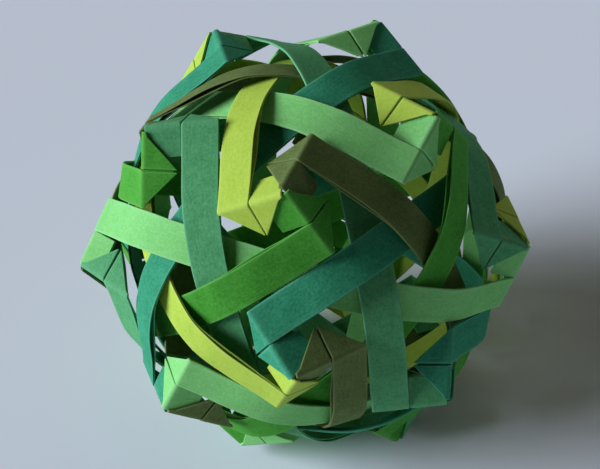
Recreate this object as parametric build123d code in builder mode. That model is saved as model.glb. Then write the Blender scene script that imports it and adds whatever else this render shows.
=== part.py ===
from build123d import *
import math
import os

# Sizes in millimetres; the ball rests on z = 0
ball_diameter = 98.0
strip_thickness = 0.5

# Angles at a corner, where three strips meet
ridge_slope_degrees = 30.0
ridge_turn_degrees = 36.0
band_lean_degrees = 3.2
front_turn_degrees = -98.9

# Shares of the corner radius
strip_width_share = 0.152
shoulder_radius_share = 0.886

# Shares of the strip width
slit_share = 0.04
tab_inset_share = 0.16
tab_length_share = 0.85
corner_hole_share = 0.04

# Shares of the strip thickness
bridge_share = 1.5
layer_step_share = 1.3
weave_drop_share = 9.6

# Shares of the half band from its ridge to its middle
settle_share = 0.25
level_share = 0.15
dip_share = 0.75
half_creases = 12

corner_radius = ball_diameter / 2
strip_width = corner_radius * strip_width_share
slit = strip_width * slit_share
tab_inset = strip_width * tab_inset_share
tab_length = strip_width * tab_length_share
tip_length = strip_width - slit
bridge = strip_thickness * bridge_share
layer_step = strip_thickness * layer_step_share
shoulder_radius = corner_radius * shoulder_radius_share
weave_drop = strip_thickness * weave_drop_share
golden = (1 + math.sqrt(5)) / 2


def sphere_point(radius, polar, azimuth):
    flat = radius * math.sin(polar)
    return Vector(flat * math.cos(azimuth), flat * math.sin(azimuth), radius * math.cos(polar))


def ridge_line(corner, neighbour):
    slope = math.radians(ridge_slope_degrees)
    turn = math.radians(ridge_turn_degrees)
    toward = (neighbour - corner * corner.dot(neighbour)).normalized()
    level = toward * math.cos(turn) + corner.cross(toward) * math.sin(turn)
    return level * math.cos(slope) - corner * math.sin(slope)


def meeting_point(base, normal, reach, other_normal, other_reach):
    # Nearest point to base on the line where two planes meet, each a reach from base along its normal
    slant = normal.dot(other_normal)
    along = normal * (reach - slant * other_reach) + other_normal * (other_reach - slant * reach)
    return base + along / (1 - slant ** 2)


# One strip is drawn with its middle on +Z and its ends at the corners towards +X and -X
corner = Vector(golden, 0, 1 / golden).normalized()
ridge = ridge_line(corner, Vector(1, -1, 1).normalized())
next_ridge = ridge_line(corner, Vector(1, 1, 1).normalized())
last_ridge = ridge_line(corner, Vector(golden, 0, -1 / golden).normalized())
tab_normal = next_ridge.cross(ridge).normalized()
tip_normal = ridge.cross(last_ridge).normalized()
tab_inward = ridge.cross(tab_normal)
tip_inward = tip_normal.cross(ridge)

# The tip lies one layer above the next strip's tab, so the ridge is where the tab meets that level
hole_edge = corner * corner_radius + ridge * (strip_width * corner_hole_share)
ridge_start = meeting_point(hole_edge, tab_normal, 0, tip_normal, layer_step)
band_start = ridge_start + ridge * (strip_width + strip_width / 2)

# The band leaves nearly square to its ridge and swings round to pass over the middle
start_polar = math.acos(band_start.Z / band_start.length)
start_azimuth = math.atan2(band_start.Y, band_start.X)
square = ridge.cross(band_start).normalized()
northward = sphere_point(1, start_polar - math.pi / 2, start_azimuth)
eastward = Vector(-math.sin(start_azimuth), math.cos(start_azimuth), 0)
yaw = math.atan2(square.dot(eastward), square.dot(northward)) + math.radians(band_lean_degrees)
swing = math.tan(yaw) * start_polar / (2 * math.sin(start_polar))


def band_point(share):
    left = 1 - share
    settle = max(0, 1 - share / settle_share) ** 2
    dip = min(1, max(0, (share - level_share) / dip_share))
    radius = shoulder_radius - weave_drop * dip ** 2 * (3 - 2 * dip)
    radius += (band_start.length - shoulder_radius) * settle
    return sphere_point(radius, start_polar * left, start_azimuth + swing * (1 - left ** 2))


def band_axes(share):
    step = 1 / 1000
    heading = (band_point(share + step) - band_point(share - step)).normalized()
    level = band_point(share).cross(heading).normalized()
    return heading, level, heading.cross(level)


start_heading, start_level, start_up = band_axes(0)
start_twist = math.atan2(ridge.dot(start_up), ridge.dot(start_level))


def band_across(share):
    heading, level, up = band_axes(share)
    twist = start_twist * (1 - share)
    return level * math.cos(twist) + up * math.sin(twist)


def band_normal(share):
    return band_axes(share)[0].cross(band_across(share))


def crease_section(share, next_share):
    # Paper bends without stretching: each gentle crease lies where two neighbouring tangent planes meet
    normal, next_normal = band_normal(share), band_normal(next_share)
    halfway = (share + next_share) / 2
    base = band_point(halfway)
    reach = normal.dot(band_point(share) - base)
    next_reach = next_normal.dot(band_point(next_share) - base)
    centre = meeting_point(base, normal, reach, next_normal, next_reach)
    line = next_normal.cross(normal).normalized()
    line = line if line.dot(ridge) > 0 else line * -1
    mean = (normal + next_normal) / 2
    return Plane(centre, line, line.cross(mean)), 0, strip_width / line.dot(band_across(halfway)), mean


def ridge_section(normal, centre):
    mean = (tip_normal + normal) / 2
    return Plane(ridge_start, ridge, ridge.cross(mean)), centre, strip_width, mean


def tip_section(centre):
    return Plane(ridge_start + tip_inward * tip_length, ridge, tip_inward * -1), centre, slit, tip_normal


def tab_section():
    width = strip_width - slit - tab_inset
    plane = Plane(ridge_start + tab_inward * tab_length, ridge, tab_inward)
    return plane, tab_inset + width / 2, width, tab_normal


def outline(section, side):
    # Four corners of the paper's cut through a section, the second strip end being the first turned half round
    plane, centre, width, mean = section
    half = strip_thickness / mean.length / 2
    reach = width / 2 * side
    local = [(centre - reach, -half), (centre + reach, -half), (centre + reach, half), (centre - reach, half)]
    corners = [plane.from_local_coords(Vector(*point)) for point in local]
    return [Vector(point.X * side, point.Y * side, point.Z) for point in corners]


def folded_sheet(outlines):
    # Flat facets above and below, and a narrow edge of two triangles on either side of each
    faces = [Face(Wire.make_polygon(outlines[0])), Face(Wire.make_polygon(outlines[-1]))]
    for near, far in zip(outlines, outlines[1:]):
        for one, other in ((0, 1), (2, 3)):
            faces.append(Face(Wire.make_polygon([near[one], near[other], far[other], far[one]])))
        for one, other in ((1, 2), (3, 0)):
            faces.append(Face(Wire.make_polygon([near[one], near[other], far[other]])))
            faces.append(Face(Wire.make_polygon([near[one], far[other], far[one]])))
    return Solid(Shell(faces))


shares = [station / half_creases for station in range(half_creases + 1)]
half_band = [tip_section(strip_width + slit / 2), ridge_section(band_normal(0), 3 * strip_width / 2)]
half_band += [crease_section(share, next_share) for share, next_share in zip(shares, shares[1:])]
whole_band = [outline(section, 1) for section in half_band]
whole_band += [outline(section, -1) for section in reversed(half_band)]
folded_tab = [tip_section(strip_width - slit / 2), ridge_section(tab_normal, strip_width / 2), tab_section()]

with BuildPart() as strip:
    add(folded_sheet(whole_band))
    for turn in (Rotation(0, 0, 0), Rotation(0, 0, 180)):
        add(folded_sheet([outline(section, 1) for section in folded_tab]).moved(turn))
        with BuildSketch(Plane(turn * Plane(ridge_start, ridge, tip_normal).location)):
            with Locations((strip_width, (bridge + strip_width) / 2)):
                Rectangle(slit, strip_width - bridge)
        extrude(amount=strip_thickness, both=True, mode=Mode.SUBTRACT)

# Twenty corners in four rings of five, and the thirty edges that the strips' middles lie across
outer_polar = math.acos(math.sqrt((5 + 2 * math.sqrt(5)) / 15))
inner_polar = math.acos(math.sqrt((5 - 2 * math.sqrt(5)) / 15))


def ring(polar, half_step):
    turns = [front_turn_degrees + 72 * place + 36 * half_step for place in range(6)]
    return [sphere_point(1, polar, math.radians(turn)) for turn in turns]


top = ring(outer_polar, 0)
upper = ring(inner_polar, 0)
lower = ring(math.pi - inner_polar, 1)
bottom = ring(math.pi - outer_polar, 1)

weave = [
    (top, top, 1, ("sea_green", "olive", "lime", "light_green", "teal")),
    (top, upper, 0, ("light_green", "teal", "sea_green", "olive", "lime")),
    (upper, lower, 0, ("grass_green", "grass_green", "lime", "grass_green", "grass_green")),
    (lower, upper, 1, ("olive", "lime", "light_green", "teal", "sea_green")),
    (lower, bottom, 0, ("light_green", "teal", "grass_green", "olive", "teal")),
    (bottom, bottom, 1, ("lime", "light_green", "sea_green", "sea_green", "olive")),
]

strips = {}
for first, second, onward, papers in weave:
    for place, paper in enumerate(papers):
        one, other = first[place], second[place + onward]
        middle = one + other
        seat = Plane((0, 0, 0), (other - one).cross(middle), middle)
        number = 1 + sum(label.startswith(paper) for label in strips)
        strips[f"{paper}_strip_{number}"] = strip.part.moved(seat.location)

boxes = [piece.bounding_box() for piece in strips.values()]
middle_x = (min(box.min.X for box in boxes) + max(box.max.X for box in boxes)) / 2
middle_y = (min(box.min.Y for box in boxes) + max(box.max.Y for box in boxes)) / 2
lowest = min(box.min.Z for box in boxes)

os.makedirs("parts", exist_ok=True)
for label, piece in strips.items():
    seated = piece.moved(Location((-middle_x, -middle_y, -lowest)))
    seated.label = label
    export_step(seated, f"parts/{label}.step")
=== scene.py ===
import math
import bpy
import numpy as np
from mathutils import Matrix, Vector


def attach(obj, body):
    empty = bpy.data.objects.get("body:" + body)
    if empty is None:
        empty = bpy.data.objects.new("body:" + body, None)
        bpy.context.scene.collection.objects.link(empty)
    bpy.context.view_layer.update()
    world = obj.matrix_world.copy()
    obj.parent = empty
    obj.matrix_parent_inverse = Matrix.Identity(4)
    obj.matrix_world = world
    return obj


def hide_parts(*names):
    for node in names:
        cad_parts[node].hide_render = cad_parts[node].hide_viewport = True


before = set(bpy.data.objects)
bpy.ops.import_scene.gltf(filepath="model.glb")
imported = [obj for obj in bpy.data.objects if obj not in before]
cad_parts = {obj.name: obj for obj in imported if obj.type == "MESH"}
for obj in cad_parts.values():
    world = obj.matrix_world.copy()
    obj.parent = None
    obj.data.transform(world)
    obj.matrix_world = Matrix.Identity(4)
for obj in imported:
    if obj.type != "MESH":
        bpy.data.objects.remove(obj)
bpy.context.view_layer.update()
scene = bpy.context.scene
scene.view_settings.view_transform = "Standard"
mm = 0.001

# the ball's middle: the strips are turned copies of each other, so it is the mean of all their corners
allCorners = [np.array([v.co for v in node.data.vertices]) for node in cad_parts.values()]
ballMiddle = np.concatenate(allCorners).mean(axis=0) / mm
print("frame loaded, ball middle at", ballMiddle.round(2))

ball = {
    "radius": 49.0,           # middle of the ball to a corner, mm
    "thickness": 0.5,         # four layers of paper pressed flat, mm
    "ridgeSlope": 30.0,       # degrees a ridge falls away from its corner
    "ridgeTurn": 36.0,        # degrees a ridge turns off the way to the next corner
    "bandLean": 3.2,          # degrees a band leans off square to its ridge
    "frontTurn": -98.9,       # degrees round to the first corner of the top ring
    "widthShare": 0.152,      # strip width, of the radius
    "slitShare": 0.055,       # slit in a tip, of the strip width
    "holeShare": 0.04,        # from a corner out to where its ridges begin, of the strip width
    "shoulderShare": 0.886,   # how far out a band lies before it dips, of the radius
    "layerStep": 1.3,         # thicknesses from one tip down to the tab below it
    "weaveDrop": 9.6,         # thicknesses a band dips to pass under its neighbours
    "settle": 0.25,           # of the half band, where it has come down to the shoulder
    "level": 0.15,            # of the half band, where the dip begins
    "dip": 0.75,              # of the half band, how long the dip is
    "pathStep": 0.001,        # of the half band, over which its slope is measured
}
golden = (1 + math.sqrt(5)) / 2
thickness = ball["thickness"]
stripWidth = ball["radius"] * ball["widthShare"]
slit = stripWidth * ball["slitShare"]


def unit(v):
    return v / np.linalg.norm(v, axis=-1, keepdims=True)


def spherePoint(radius, polar, azimuth):
    # a point at a radius, an angle down from +Z and an angle round from +X
    return np.stack(np.broadcast_arrays(
        radius * np.sin(polar) * np.cos(azimuth),
        radius * np.sin(polar) * np.sin(azimuth),
        radius * np.cos(polar)), axis=-1)


def ridgeLine(corner, neighbour):
    # the way to the neighbour, turned about the corner's axis and then sloped inwards
    slope, turn = math.radians(ball["ridgeSlope"]), math.radians(ball["ridgeTurn"])
    toward = unit(neighbour - corner * np.dot(corner, neighbour))
    level = toward * math.cos(turn) + np.cross(corner, toward) * math.sin(turn)
    return level * math.cos(slope) - corner * math.sin(slope)


# one strip lies with its middle on +Z and its ends at the corners towards +X and -X
corner = unit(np.array([golden, 0, 1 / golden]))
ridge = ridgeLine(corner, unit(np.array([1.0, -1, 1])))
nextRidge = ridgeLine(corner, unit(np.array([1.0, 1, 1])))
lastRidge = ridgeLine(corner, unit(np.array([golden, 0, -1 / golden])))
tabNormal = unit(np.cross(nextRidge, ridge))
tipNormal = unit(np.cross(ridge, lastRidge))
tabInward = np.cross(ridge, tabNormal)
tipInward = np.cross(tipNormal, ridge)

# the ridge is where the tab's plane meets the tip's, which lies one layer above the next strip's tab
slant = np.dot(tabNormal, tipNormal)
layerLift = thickness * ball["layerStep"]
ridgeStart = (corner * ball["radius"] + ridge * stripWidth * ball["holeShare"]
              + (tipNormal - tabNormal * slant) * layerLift / (1 - slant ** 2))
bandStart = ridgeStart + ridge * stripWidth * 1.5
bandReach = np.linalg.norm(bandStart)
startPolar = math.acos(bandStart[2] / bandReach)
startAzimuth = math.atan2(bandStart[1], bandStart[0])

# the band leaves nearly square to its ridge and swings round to pass over the middle
square = unit(np.cross(ridge, bandStart))
northward = spherePoint(1, startPolar - math.pi / 2, startAzimuth)
eastward = np.array([-math.sin(startAzimuth), math.cos(startAzimuth), 0])
yaw = math.atan2(np.dot(square, eastward), np.dot(square, northward)) + math.radians(ball["bandLean"])
swing = math.tan(yaw) * startPolar / (2 * math.sin(startPolar))


def bandPoint(share):
    # share 0 is the ridge and 1 the strip's middle: the polar angle shrinks evenly, the azimuth swings
    # round with the square of what is left, and the radius eases to the shoulder and then dips in an S
    left = 1 - share
    settle = np.maximum(0, 1 - share / ball["settle"]) ** 2
    dip = np.clip((share - ball["level"]) / ball["dip"], 0, 1)
    shoulder = ball["radius"] * ball["shoulderShare"]
    radius = shoulder - thickness * ball["weaveDrop"] * dip ** 2 * (3 - 2 * dip)
    radius = radius + (bandReach - shoulder) * settle
    return spherePoint(radius, startPolar * left, startAzimuth + swing * (1 - left ** 2))


def levelAxes(share):
    # the way along the path, the level way square to it, and the one square to both
    step = ball["pathStep"]
    heading = unit(bandPoint(share + step) - bandPoint(share - step))
    level = unit(np.cross(bandPoint(share), heading))
    return heading, level, np.cross(heading, level)


atRidge = np.array([0.0])
firstLevel, firstUp = (axis[0] for axis in levelAxes(atRidge)[1:])
firstTwist = math.atan2(np.dot(firstUp, ridge), np.dot(firstLevel, ridge))
firstStep = bandPoint(atRidge + ball["pathStep"]) - bandPoint(atRidge)
bandPace = np.linalg.norm(firstStep) / ball["pathStep"]       # mm in a share of 1


def bandAxes(share):
    # across starts along the ridge and untwists evenly until it lies level at the strip's middle
    heading, level, up = levelAxes(share)
    twist = firstTwist * (1 - share)[:, None]
    across = level * np.cos(twist) + up * np.sin(twist)
    return heading, across, np.cross(heading, across)


strip = {
    "tipSteps": 16,           # rows of points along each part
    "creaseSteps": 9,
    "bandSteps": 72,
    "tabSteps": 12,
    "underSteps": 8,
    "patchSteps": 4,
    "faceSteps": 9,           # points across the strip on each face
    "rollSteps": 6,           # points round a folded edge
    "gapPlaces": (0.0, 0.3, 0.6, 0.85),     # points across the gap between the leaves, of the width
    "creaseRadius": 0.75,     # mm, the middle of the paper as it goes over a ridge
    "crown": 0.05,            # thicknesses that the four layers puff up
    "leafGap": 0.012,         # thicknesses from the middle to each leaf's inner face
    "pinch": 1.2,             # the most that an edge's roll may be, of the width that is left in a tip
    "underLayer": 0.085,      # mm, the layer that shows at the bottom of a tip's slit
    "underRise": 0.8,         # mm from the ridge over which the tip makes room for that layer
    "underShare": 0.94,       # size of that layer, of the tip
    "underStart": 0.7,        # mm from the ridge to that layer
    "patch": (1.4, 2.4),      # mm, width and reach of the inner paper at the middle of a ridge
    "tabLength": 0.85,        # of the strip width
    "tabInset": 0.16,         # how much narrower a tab is at its end, of the strip width
    "squareShare": 0.08,      # of the half band, along which it turns from the ridge to its own path
    "flatten": (0.75, 0.45),  # mm that a band's end sinks as it runs straight, and up to which share
    "wave": 0.04,             # mm, how far the paper is from flat
    "edgeWave": 0.05,         # mm, how far a folded edge is from straight
    "waves": ((0.33, 0.25, 1.0), (0.71, -0.4, 0.7)),    # radians in a mm along and across, and strength
    "edgeWaves": ((0.21, 1.0), (0.53, 0.6)),            # radians in a mm along, and strength
    "nearWave": 0.4,          # how much of the edge's wave the near edge has
    "tipLoose": (4.0, 0.4),   # mm from the ridge in which a tip's wave grows, and the most it has
    "bandLoose": 6.0,         # mm from the ridge in which a band's wave grows
    "gape": (0.3, 1.0),       # mm, least and most that the two leaves of a strip stand apart
    "middleGape": 0.6,        # how much of that the strip's middle has
    "endGape": (0.03, 0.42),  # of the half band, start and length of the end's gape
    "restGape": (0.62, 0.28),
    "hangCurve": 1.3,         # how the lower leaf bends away from its fold
    "slide": 0.25,            # how far the lower leaf shows beside the upper one, of its gape
    "lift": (0.0, 0.35),      # mm, least and most that a tip's apex springs up
    "liftCurve": 1.5,
    "ridgeWearAndHighlight": 0.35,        # how much paler the paper is along a ridge, rubbed paper and a painted highlight
    "ridgeFade": 0.4,         # mm in which that falls off
    "edgeWearAndHighlight": 0.8,          # the same along a folded edge, rubbed paper and a painted highlight too
    "edgeFade": 40.0,
    "grainLength": 150.0,     # mm of paper in one unit of its grain map
    "sharpAngle": 48.0,       # degrees past which two faces meet in an edge
}


def creaseArc(away, normal, steps):
    # a circle's arc that touches the tip's plane and the other plane, which meet in the ridge
    radius = strip["creaseRadius"]
    half = math.acos(np.clip(np.dot(tipInward, away), -1, 1)) / 2
    hub = unit(tipInward + away) * radius / math.sin(half)
    turn = math.acos(np.clip(np.dot(tipNormal, normal), -1, 1))
    part = np.linspace(0, 1, steps)[:, None]
    normals = (tipNormal * np.sin((1 - part) * turn) + normal * np.sin(part * turn)) / math.sin(turn)
    return hub + normals * radius, normals, radius / math.tan(half)


def ridgeRubAndHighlight(run):
    # paper rubbed paler beside a ridge, with a painted highlight along it: it falls off exponentially with
    # the way from it
    return np.exp(-run / strip["ridgeFade"]) * strip["ridgeWearAndHighlight"]


def loopPart(across, out, height, fold, leaf):
    return np.stack(np.broadcast_arrays(across, out, height, fold, leaf), 1)


def foldedProfile():
    # a closed loop round the strip's cut, in five columns: how far across, how far out and how high in
    # thicknesses, how near a fold, and whether it is the lower leaf. The far edge is one roll and the near
    # edge two smaller ones, with the gap between the two leaves running in from there
    gap = strip["leafGap"]
    farRoll, nearRoll = 0.5, 0.25                 # radii in thicknesses, the whole strip's and a leaf's
    smallRoll = nearRoll - gap / 2
    a = 0.5 - 0.5 * np.cos(np.linspace(0, math.pi, strip["faceSteps"]))
    crown = farRoll + strip["crown"] * 4 * a * (1 - a)
    out = nearRoll * (1 - a) - farRoll * a
    fold = np.exp(-np.minimum(a, 1 - a) * strip["edgeFade"])
    under = loopPart(a, out, -crown, fold, 1.0)
    over = loopPart(a, out, crown, fold, 0.0)[::-1]
    turn = np.linspace(-math.pi / 2, math.pi / 2, strip["rollSteps"] + 2)[1:-1]
    far = loopPart(1.0, farRoll * np.cos(turn) - farRoll, farRoll * np.sin(turn), 1.0, 0.0)
    nearOut, nearHeight = nearRoll - smallRoll * np.cos(turn), smallRoll * np.sin(turn)
    upper = loopPart(0.0, nearOut, nearRoll + gap / 2 - nearHeight, 1.0, 0.0)
    lower = loopPart(0.0, nearOut, -nearRoll - gap / 2 - nearHeight, 1.0, 1.0)
    inside = np.array(strip["gapPlaces"])
    inner = loopPart(inside, nearRoll * (1 - inside), gap, 0.0, 0.0)
    innerLow = loopPart(inside, nearRoll * (1 - inside), -gap, 0.0, 1.0)[::-1]
    return np.concatenate([under, far, over, upper, inner, innerLow, lower])


def sweepSheet(path, random, flip):
    # the profile carried along a path: middle + across * how far across + normal * how high. The paper
    # waves in sums of two sines, and the lower leaf hangs open from the far fold by the path's gape
    profile = foldedProfile()
    count, around = len(path["middle"]), len(profile)
    low, high, along, loose, gape, lift, crease = (
        path[key][:, None] for key in ("low", "high", "along", "loose", "gape", "lift", "crease"))
    tall = (path["over"] - path["under"])[:, None]
    rise = ((path["over"] + path["under"]) / 2)[:, None]
    roll = np.minimum(tall, (high - low) * strip["pinch"])
    a, out, level, fold, leaf = (column[None, :] for column in profile.T)
    hang = leaf * (1 - a) ** strip["hangCurve"]
    if flip:
        a, out = 1 - a, -out
    phases = random.uniform(0, 2 * math.pi, 8)
    edgeWave = strip["edgeWave"] * loose * sum(
        strength * np.sin(along * pace + phase)
        for (pace, strength), phase in zip(strip["edgeWaves"], phases))
    nearWave = strip["nearWave"]
    slide = gape * strip["slide"] * hang * (1 if flip else -1)
    side = low + (high - low) * a + out * roll + edgeWave * (nearWave + (1 - nearWave) * a) + slide
    wave = strip["wave"] * loose * sum(
        strength * np.sin(along * pace + side * lean + phase)
        for (pace, lean, strength), phase in zip(strip["waves"], phases[2:]))
    height = rise + level * tall + wave + lift - gape * hang
    points = (path["middle"][:, None] + path["across"][:, None] * side[..., None]
              + path["normal"][:, None] * height[..., None])
    i, j = np.meshgrid(np.arange(count - 1), np.arange(around), indexing="ij")
    k = (j + 1) % around
    row, nextRow = i * around, (i + 1) * around
    quads = np.stack([row + j, row + k, nextRow + k, nextRow + j], -1).reshape(-1, 4)
    caps = [np.arange(around)[::-1], np.arange(around) + (count - 1) * around]
    uv = np.stack(np.broadcast_arrays(along, side), -1).reshape(-1, 2)
    # paler along ridges and folded edges: rubbed paper and a painted highlight
    wearAndHighlight = np.maximum(crease, np.broadcast_to(fold * strip["edgeWearAndHighlight"], side.shape)).reshape(-1)
    return points.reshape(-1, 3), quads, caps, uv, wearAndHighlight


def stretch(middle, across, normal, low, high, under, crease, loose):
    # one part of a path, row by row, with single values filled in for all its rows
    rows = len(middle)

    def fill(value):
        return np.broadcast_to(np.asarray(value, float), (rows,)).copy()

    def fillAxis(axis):
        return np.broadcast_to(axis, (rows, 3)).copy()

    return {
        "middle": middle, "across": fillAxis(across), "normal": fillAxis(normal),
        "low": fill(low), "high": fill(high), "under": fill(under), "over": fill(thickness / 2),
        "crease": fill(crease), "loose": fill(loose),
        "gape": fill(0), "lift": fill(0), "share": fill(0),
    }


def joinPaths(parts):
    return {key: np.concatenate([part[key] for part in parts]) for key in parts[0]}


def foldTogether(tip, fold, rest):
    # the crease's first and last rows stand for the tip's last and the rest's first
    return joinPaths([{k: v[:-1] for k, v in tip.items()}, fold, {k: v[1:] for k, v in rest.items()}])


def lengthAlong(path):
    run = np.linalg.norm(np.diff(path["middle"], axis=0), axis=1)
    path["along"] = np.concatenate([[0], np.cumsum(run)])
    return path


def tipPart(centre, lowEdge, highEdge, reach):
    # the triangle's half: rows across it from the apex down to where the crease begins
    y = np.linspace(stripWidth - slit, reach, strip["tipSteps"])
    run = y - reach
    under = -thickness / 2 + strip["underLayer"] * np.clip(run / strip["underRise"], 0, 1)
    looseRun, mostLoose = strip["tipLoose"]
    tip = stretch(ridgeStart + ridge * centre + tipInward * y[:, None], ridge, tipNormal,
                  lowEdge(y) - centre, highEdge(y) - centre, under, ridgeRubAndHighlight(run),
                  np.clip(run / looseRun, 0, mostLoose))
    tip["lift"] = (run / stripWidth) ** strip["liftCurve"]
    return tip


def flatBand(share):
    # the end of a band runs straighter than its path: sunk along the normal by x times the square of
    # 1 - x, where x is the part of the way to where it lies on another strip, and tilted by that slope
    depth, far = strip["flatten"]
    top = 27 / 4                                  # x times the square of 1 - x is 4 / 27 at its most
    x = np.minimum(share / far, 1)[:, None]
    sunk = depth * top * x * (1 - x) ** 2
    slope = depth * top * (1 - x) * (1 - 3 * x) / (far * bandPace)
    heading, across, normal = bandAxes(share)
    return bandPoint(share) - normal * sunk, unit(heading - normal * slope), across


def halfBand():
    # apex, crease and half the band, in that order
    centre = stripWidth * 1.5
    heading, across = (axis[0] for axis in flatBand(atRidge)[1:])
    away = unit(heading - ridge * np.dot(heading, ridge))
    arc, normals, reach = creaseArc(away, unit(np.cross(heading, across)), strip["creaseSteps"])
    tip = tipPart(centre, lambda y: stripWidth + slit / 2 + y * 0, lambda y: 2 * stripWidth - y, reach)
    slitLeft = slit / 2 * (1 - np.linspace(0, 1, strip["creaseSteps"]))
    fold = stretch(ridgeStart + ridge * centre + arc, ridge, normals, -stripWidth / 2 + slitLeft,
                   stripWidth / 2, -thickness / 2, strip["ridgeWearAndHighlight"], 0)
    share = np.linspace(reach / bandPace, 1, strip["bandSteps"])
    middle, heading, across = flatBand(share)
    settle = np.clip(share / strip["squareShare"], 0, 1)[:, None]
    across = unit(ridge * (1 - settle) + across * settle)
    run = (share - share[0]) * bandPace
    band = stretch(middle, across, unit(np.cross(heading, across)), -stripWidth / 2, stripWidth / 2,
                   -thickness / 2, ridgeRubAndHighlight(run), np.clip(run / strip["bandLoose"], 0, 1))
    band["share"] = share
    return foldTogether(tip, fold, band)


def leafGape(share, end, middle):
    # a sine squared near the end and an S towards the middle, which leave the paper pressed flat at the
    # ridge and where the strip lies on another
    endStart, endLength = strip["endGape"]
    restStart, restLength = strip["restGape"]
    hump = np.sin(math.pi * np.clip((share - endStart) / endLength, 0, 1)) ** 2
    rest = np.clip((share - restStart) / restLength, 0, 1)
    return end * hump + middle * rest ** 2 * (3 - 2 * rest)


def wholeBand(random):
    # the second half is the first turned half round about +Z and run backwards, so its sides change over
    half = halfBand()
    ends = random.uniform(*strip["gape"], 2)
    middle = random.uniform(*strip["gape"]) * strip["middleGape"]
    turned = np.array([-1.0, -1, 1])
    back = {key: value[::-1][1:] for key, value in half.items()}
    back["middle"], back["normal"] = back["middle"] * turned, back["normal"] * turned
    back["across"] = -back["across"] * turned
    back["low"], back["high"] = -back["high"], -back["low"]
    for part, end in zip((half, back), ends):
        part["lift"] = part["lift"] * random.uniform(*strip["lift"])
        part["gape"] = leafGape(part["share"], end, middle)
    return lengthAlong(joinPaths([half, back]))


def foldedTab(random):
    # the other half of the tip, the crease and the tab that goes down under the next strip
    centre = stripWidth / 2
    arc, normals, reach = creaseArc(tabInward, tabNormal, strip["creaseSteps"])
    tip = tipPart(centre, lambda y: y, lambda y: stripWidth - slit / 2 + y * 0, reach)
    slitLeft = slit / 2 * (1 - np.linspace(0, 1, strip["creaseSteps"]))
    fold = stretch(ridgeStart + ridge * centre + arc, ridge, normals, -stripWidth / 2,
                   stripWidth / 2 - slitLeft, -thickness / 2, strip["ridgeWearAndHighlight"], 0)
    y = np.linspace(reach, stripWidth * strip["tabLength"], strip["tabSteps"])
    down = (y - reach) / (y[-1] - reach)
    tab = stretch(ridgeStart + ridge * centre + tabInward * y[:, None], ridge, tabNormal,
                  -stripWidth / 2 + stripWidth * strip["tabInset"] * down, stripWidth / 2 - slit * down,
                  -thickness / 2, ridgeRubAndHighlight(y - reach), 0)
    path = lengthAlong(foldTogether(tip, fold, tab))
    path["lift"] *= random.uniform(*strip["lift"])
    return path


def underTriangle():
    # the whole triangle that lies below the two halves and closes their slit from below
    y = np.linspace(stripWidth - slit * 3, strip["underStart"], strip["underSteps"])
    reach = (stripWidth - y) * strip["underShare"]
    path = stretch(ridgeStart + ridge * stripWidth + tipInward * y[:, None], ridge, tipNormal,
                   -reach, reach, -thickness / 2, 0, 0)
    path["over"] = path["under"] + strip["underLayer"] * 0.9        # a little below the halves
    return lengthAlong(path)


def cornerPatch():
    # the inner paper that goes over the middle of the ridge, from below the slit down inside the tab
    width, length = strip["patch"]
    arc, normals, reach = creaseArc(tabInward, tabNormal, strip["creaseSteps"])
    y = np.linspace(length, reach, strip["patchSteps"])[:, None]
    line = np.concatenate([tipInward * y, arc[1:-1], tabInward * y[::-1]])
    normal = np.concatenate([tipNormal + y * 0, normals[1:-1], tabNormal + y * 0])
    path = stretch(ridgeStart + ridge * stripWidth + line, ridge, normal, -width / 2, width / 2,
                   -thickness / 2 + strip["underLayer"] / 4, 0, 0)
    path["over"] = path["under"] + strip["underLayer"] * 3 / 4      # level with the top of that layer
    return lengthAlong(path)


fray = {
    "strip": "light_green_strip_1",
    "share": 0.11,            # how far from the ridge to the strip's middle
    "fibres": 11,
    "steps": 7,
    "spread": 2.2,            # mm along the edge
    "length": (0.5, 1.1),     # mm
    "lean": (-0.8, 0.8),      # mm along the edge for each mm out
    "curl": (0.5, 1.0),       # mm up for each mm out
    "root": (0.1, 0.2),       # mm above the strip's middle
    "inset": 0.15,            # mm in from the edge
    "width": 0.09,            # mm to either side at the root
    "taper": 0.85,            # how much of that width is gone at the end
    "flat": 0.3,              # how thick a fibre is, of its width
    "tilt": 0.3,              # how far its face leans in over the strip
    # how far the fibres take the paler edge colour, that of rubbed paper with a painted highlight
    "wearAndHighlight": 0.9,
}


def frayedFibres(band, random):
    # each fibre is a narrow sheet: out from the folded edge, leaning along it and curling up with the
    # square of the way out, and as it goes its width falls evenly to almost nothing
    secondHalf = len(band["share"]) // 2
    station = secondHalf + np.argmin(np.abs(band["share"][secondHalf:] - fray["share"]))
    middle, across, normal = (band[key][station] for key in ("middle", "across", "normal"))
    heading = np.cross(across, normal)
    edge = middle + across * (band["low"][station] + fray["inset"])
    t = np.linspace(0, 1, fray["steps"])[:, None]
    wide = fray["width"] * (1 - fray["taper"] * t[:, 0])
    paths = []
    for fibre in range(fray["fibres"]):
        start = random.uniform(-0.5, 0.5) * fray["spread"]
        out, lean, curl, root = (
            random.uniform(*fray[key]) for key in ("length", "lean", "curl", "root"))
        line = edge + heading * start + normal * root
        line = line + out * (-across * t + heading * lean * t + normal * curl * t ** 2)
        path = stretch(line, heading, unit(normal + across * fray["tilt"]), -wide, wide,
                       -wide * fray["flat"], fray["wearAndHighlight"], 0)
        path["over"] = wide * fray["flat"]
        paths.append(lengthAlong(path))
    return paths


def outwardFaces(points, quads, caps):
    # six times the volume is the sum of corner . (corner x corner) over the triangles, and a sheet where
    # that is below zero is inside out
    a, b, c, d = (points[quads[:, k]] for k in range(4))
    volume = np.sum(a * np.cross(b, c)) + np.sum(a * np.cross(c, d))
    if volume < 0:
        return quads[:, ::-1], [cap[::-1] for cap in caps]
    return quads, caps


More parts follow.
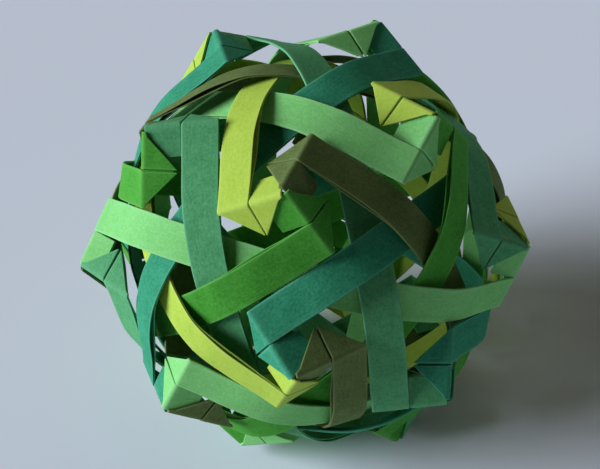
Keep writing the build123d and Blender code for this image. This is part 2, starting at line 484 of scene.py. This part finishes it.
def stripMesh(title, axes, random, flip):
    # a band, and for each end a tab and two inner layers, turned half round about +Z for the second end
    band = wholeBand(random)
    sheets = [(band, 1), (foldedTab(random), 1), (foldedTab(random), -1)]
    sheets += [(layer, side) for layer in (underTriangle(), cornerPatch()) for side in (1, -1)]
    if title == fray["strip"]:
        sheets += [(fibre, 1) for fibre in frayedFibres(band, random)]
    points, faces, uvs, wearsAndHighlights, start = [], [], [], [], 0
    for path, side in sheets:
        sheetPoints, quads, caps, uv, wearAndHighlight = sweepSheet(path, random, flip)
        sheetPoints = sheetPoints * np.array([side, side, 1])
        quads, caps = outwardFaces(sheetPoints, quads, caps)
        points.append(sheetPoints)
        faces += (quads + start).tolist() + [(cap + start).tolist() for cap in caps]
        uvs.append(uv)
        wearsAndHighlights.append(wearAndHighlight)
        start += len(sheetPoints)
    place = (np.concatenate(points) @ axes + ballMiddle) * mm
    tones = np.full(len(place), random.uniform(-1, 1))
    mesh = bpy.data.meshes.new(title + "_folded")
    mesh.from_pydata(place.tolist(), [], faces)
    corners = np.empty(len(mesh.loops), int)
    mesh.loops.foreach_get("vertex_index", corners)
    grain = mesh.uv_layers.new(name="paperGrain")
    grain.uv.foreach_set("vector", (np.concatenate(uvs)[corners] / strip["grainLength"]).ravel())
    # the paler ridges and folded edges, rubbed paper with a painted highlight, and a random tone for each
    # strip
    for name, values in (("foldWearAndHighlight", np.concatenate(wearsAndHighlights)), ("stripTone", tones)):
        mesh.attributes.new(name, "FLOAT", "POINT").data.foreach_set("value", values)
    mesh.shade_smooth()
    mesh.set_sharp_from_angle(angle=math.radians(strip["sharpAngle"]))
    return mesh


class Sock:
    # a node's output that can be used in sums: a + b, a - b and a * b each add a Math node
    def __init__(self, tree, socket=None):
        self.tree, self.socket = tree, socket

    def node(self, kind, settings=None, inputs=None, output=0):
        made = self.tree.nodes.new(kind)
        for key, value in (settings or {}).items():
            setattr(made, key, value)
        for key, value in (inputs or {}).items():
            if isinstance(value, Sock):
                self.tree.links.new(value.socket, made.inputs[key])
            else:
                made.inputs[key].default_value = value
        return Sock(self.tree, made.outputs[output])

    def math(self, operation, one, other):
        return self.node("ShaderNodeMath", {"operation": operation}, {0: one, 1: other})

    def __add__(self, other):
        return self.math("ADD", self, other)

    def __radd__(self, other):
        return self.math("ADD", other, self)

    def __sub__(self, other):
        return self.math("SUBTRACT", self, other)

    def __rsub__(self, other):
        return self.math("SUBTRACT", other, self)

    def __mul__(self, other):
        return self.math("MULTIPLY", self, other)

    def __rmul__(self, other):
        return self.math("MULTIPLY", other, self)

    def mixColour(self, one, other):
        return self.node("ShaderNodeMix", {"data_type": "RGBA"}, {0: self, 6: one, 7: other}, 2)


def linear(red, green, blue):
    def curve(v):
        v = v / 255
        return v / 12.92 if v <= 0.04045 else ((v + 0.055) / 1.055) ** 2.4
    return (curve(red), curve(green), curve(blue), 1.0)


# each paper's colour, what its mottling goes down to, and the paler colour along ridges and folded edges,
# which is rubbed paper with a painted highlight
papers = {
    "lime": {"body": (178, 208, 82), "deep": (161, 193, 68), "wornAndHighlight": (208, 230, 124)},
    "light_green": {"body": (137, 215, 129), "deep": (119, 199, 110), "wornAndHighlight": (176, 234, 170)},
    "grass_green": {"body": (75, 160, 55), "deep": (55, 134, 39), "wornAndHighlight": (126, 202, 102)},
    "sea_green": {"body": (94, 174, 116), "deep": (69, 146, 93), "wornAndHighlight": (134, 204, 160)},
    "teal": {"body": (60, 156, 117), "deep": (37, 126, 91), "wornAndHighlight": (112, 198, 165)},
    "olive": {"body": (106, 128, 70), "deep": (81, 100, 53), "wornAndHighlight": (144, 160, 104)},
}
paperLook = {
    "cloud": {"Scale": 260.0, "Detail": 4.0, "Roughness": 0.6},
    "speck": {"Scale": 1900.0, "Detail": 3.0},
    "fibre": {"Scale": 1.0, "Detail": 5.0, "Roughness": 0.65},
    "fibreStretch": (30.0, 420.0, 1.0),           # along the strip, across it
    "bump": {"Strength": 0.55, "Distance": 0.00014},
    "specular": 0.14,
}


def paperMaterial(name):
    body, deep, wornAndHighlight = (linear(*papers[name][part]) for part in ("body", "deep", "wornAndHighlight"))
    material = bpy.data.materials.new(name + "Paper")
    material.use_nodes = True
    tree = material.node_tree
    shader = tree.nodes["Principled BSDF"]
    maker = Sock(tree)
    place = maker.node("ShaderNodeTexCoord", output="Object")
    grain = maker.node("ShaderNodeUVMap", {"uv_map": "paperGrain"})
    wearAndHighlight = maker.node("ShaderNodeAttribute", {"attribute_name": "foldWearAndHighlight"}, output="Fac")
    tone = maker.node("ShaderNodeAttribute", {"attribute_name": "stripTone"}, output="Fac")
    stretched = {"Vector": grain, "Scale": paperLook["fibreStretch"]}
    lengthwise = maker.node("ShaderNodeMapping", inputs=stretched)
    cloud = maker.node("ShaderNodeTexNoise", inputs={"Vector": place} | paperLook["cloud"])
    speck = maker.node("ShaderNodeTexNoise", inputs={"Vector": place} | paperLook["speck"])
    fibre = maker.node("ShaderNodeTexNoise", inputs={"Vector": lengthwise} | paperLook["fibre"])
    mottle = (cloud - 0.5) * 1.3 + (fibre - 0.5) * 1.1 + (speck - 0.5) * 2.0 + 0.4 + tone * 0.15
    # paler paper along ridges and folded edges: partly rubbed paper, partly a painted highlight, flecked
    # by the specks
    rubbedAndHighlit = wearAndHighlight * (0.1 + speck * 0.8) * 0.7
    colour = rubbedAndHighlit.mixColour(mottle.mixColour(body, deep), wornAndHighlight)
    rough = 0.78 + speck * 0.16 - wearAndHighlight * 0.06
    relief = fibre * 0.6 + speck * 0.5 + cloud * 0.5
    bump = maker.node("ShaderNodeBump", inputs={"Height": relief} | paperLook["bump"])
    for socket, value in (("Base Color", colour), ("Roughness", rough), ("Normal", bump)):
        tree.links.new(value.socket, shader.inputs[socket])
    shader.inputs["Specular IOR Level"].default_value = paperLook["specular"]
    return material


paperOf = {name: paperMaterial(name) for name in papers}
print("six papers coloured")

# the dodecahedron's corners in four rings of five, each ring closed by its first corner again
outerPolar = math.acos(math.sqrt((5 + 2 * math.sqrt(5)) / 15))
innerPolar = math.acos(math.sqrt((5 - 2 * math.sqrt(5)) / 15))


def ring(polar, halfStep):
    turns = np.radians(ball["frontTurn"] + 72 * np.arange(6) + 36 * halfStep)
    return spherePoint(1.0, polar, turns)


top, upper = ring(outerPolar, 0), ring(innerPolar, 0)
lower, bottom = ring(math.pi - innerPolar, 1), ring(math.pi - outerPolar, 1)

# the edges that the strips' middles lie across: from a ring, to a ring, how many places on, and papers
weave = [
    (top, top, 1, ("sea_green", "olive", "lime", "light_green", "teal")),
    (top, upper, 0, ("light_green", "teal", "sea_green", "olive", "lime")),
    (upper, lower, 0, ("grass_green", "grass_green", "lime", "grass_green", "grass_green")),
    (lower, upper, 1, ("olive", "lime", "light_green", "teal", "sea_green")),
    (lower, bottom, 0, ("light_green", "teal", "grass_green", "olive", "teal")),
    (bottom, bottom, 1, ("lime", "light_green", "sea_green", "sea_green", "olive")),
]

# strips whose two folded edges run along the other long side
foldsOnFarSide = {
    "lime_strip_1", "lime_strip_2", "olive_strip_1", "olive_strip_3", "olive_strip_5",
    "grass_green_strip_1", "grass_green_strip_4", "teal_strip_4", "sea_green_strip_2",
}
counts = dict.fromkeys(papers, 0)
for first, second, onward, names in weave:
    for place, paper in enumerate(names):
        one, other = first[place], second[place + onward]
        up = unit(one + other)
        sideways = unit(np.cross(other - one, up))
        axes = np.stack([sideways, np.cross(up, sideways), up])
        counts[paper] += 1
        title = paper + "_strip_" + str(counts[paper])
        random = np.random.default_rng(100 * list(papers).index(paper) + counts[paper])
        mesh = stripMesh(title, axes, random, title in foldsOnFarSide)
        mesh.materials.append(paperOf[paper])
        piece = bpy.data.objects.new(title + "_folded", mesh)
        scene.collection.objects.link(piece)
        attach(piece, "root")
        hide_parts(title)
        paper + "_paper"
print("strips folded and woven:", counts)

floorLook = {
    "size": 30.0,             # m
    "colour": linear(234, 243, 254),
    "roughness": 0.9,
    "specular": 0.0,
}
half = floorLook["size"] / 2
floorCorners = [(-half, -half, 0), (half, -half, 0), (half, half, 0), (-half, half, 0)]
floorMesh = bpy.data.meshes.new("floor")
floorMesh.from_pydata(floorCorners, [], [(0, 1, 2, 3)])
floor = bpy.data.objects.new("floor", floorMesh)
scene.collection.objects.link(floor)
floorPaint = bpy.data.materials.new("floorPaint")
floorPaint.use_nodes = True
floorShader = floorPaint.node_tree.nodes["Principled BSDF"]
floorShader.inputs["Base Color"].default_value = floorLook["colour"]
floorShader.inputs["Roughness"].default_value = floorLook["roughness"]
floorShader.inputs["Specular IOR Level"].default_value = floorLook["specular"]
floorMesh.materials.append(floorPaint)

light = {
    "window": {
        "toward": (-0.92, 0.03, 0.385),
        "spread": 38.0,       # degrees
        "level": 1.3,
        "colour": (0.96, 0.985, 1.09),
    },
    "backWall": {
        "toward": (0.42, 0.8, 0.44),
        "spread": 70.0,
        "level": 0.12,
        "colour": (1.0, 0.9, 0.8),
    },
    "room": {
        "level": 0.03,
        "colour": linear(255, 242, 212),
        "seen": linear(183, 191, 205),
    },
}


def softLamp(name):
    # a level of 1 shows a surface that faces the lamp about as bright as its own colour
    look = light[name]
    lamp = bpy.data.lights.new(name, "SUN")
    lamp.angle, lamp.color = math.radians(look["spread"]), look["colour"]
    lamp.energy = look["level"] * math.pi
    holder = bpy.data.objects.new(name, lamp)
    holder.rotation_mode = "QUATERNION"
    holder.rotation_quaternion = Vector(look["toward"]).normalized().to_track_quat("Z", "Y")
    scene.collection.objects.link(holder)


softLamp("window")
softLamp("backWall")

# the room lights the ball a little from all round, and the camera sees it as a pale wall
world = bpy.data.worlds.new("room")
world.use_nodes = True
tree = world.node_tree
background = tree.nodes["Background"]
background.inputs["Color"].default_value = light["room"]["colour"]
background.inputs["Strength"].default_value = light["room"]["level"]
maker = Sock(tree)
wall = maker.node("ShaderNodeBackground", inputs={"Color": light["room"]["seen"], "Strength": 1.0})
cameraRay, glossyRay, transmissionRay = (
    maker.node("ShaderNodeLightPath", output=kind)
    for kind in ("Is Camera Ray", "Is Glossy Ray", "Is Transmission Ray"))
roomMix = maker.node("ShaderNodeMixShader", inputs={
    0: cameraRay + glossyRay + transmissionRay, 1: Sock(tree, background.outputs[0]), 2: wall})
tree.links.new(roomMix.socket, tree.nodes["World Output"].inputs["Surface"])
scene.world = world

lens = {
    "from": (-0.1761, -4.268, 3.8372),            # ball radii from the ball's middle
    "aim": (-0.03123, 0.02003, 0.02132),          # the picture's middle, in the same radii
    "roll": -7.226,                               # degrees
    "focal": 1296.7,                              # pixels, in a picture as wide as the next line says
    "pictureWidth": 600,
    "sensor": 36.0,                               # mm
    "clip": (0.01, 20.0),                         # m
}
cameraData = bpy.data.cameras.new("camera")
cameraData.sensor_width = lens["sensor"]
cameraData.sensor_fit = "HORIZONTAL"
cameraData.lens = lens["focal"] / lens["pictureWidth"] * lens["sensor"]
cameraData.clip_start, cameraData.clip_end = lens["clip"]
camera = bpy.data.objects.new("camera", cameraData)

# the level way to the right and the way up square to it, both turned by the roll about the way ahead
ahead = unit(np.array(lens["aim"]) - np.array(lens["from"]))
levelRight = unit(np.cross(ahead, (0, 0, 1)))
levelUp = np.cross(levelRight, ahead)
roll = math.radians(lens["roll"])
stand = np.eye(4)
stand[:3, 0] = levelRight * math.cos(roll) + levelUp * math.sin(roll)
stand[:3, 1] = levelUp * math.cos(roll) - levelRight * math.sin(roll)
stand[:3, 2] = -ahead
stand[:3, 3] = (ballMiddle + np.array(lens["from"]) * ball["radius"]) * mm
camera.matrix_world = Matrix(stand.tolist())
scene.collection.objects.link(camera)
scene.camera = camera

print("camera and light set")
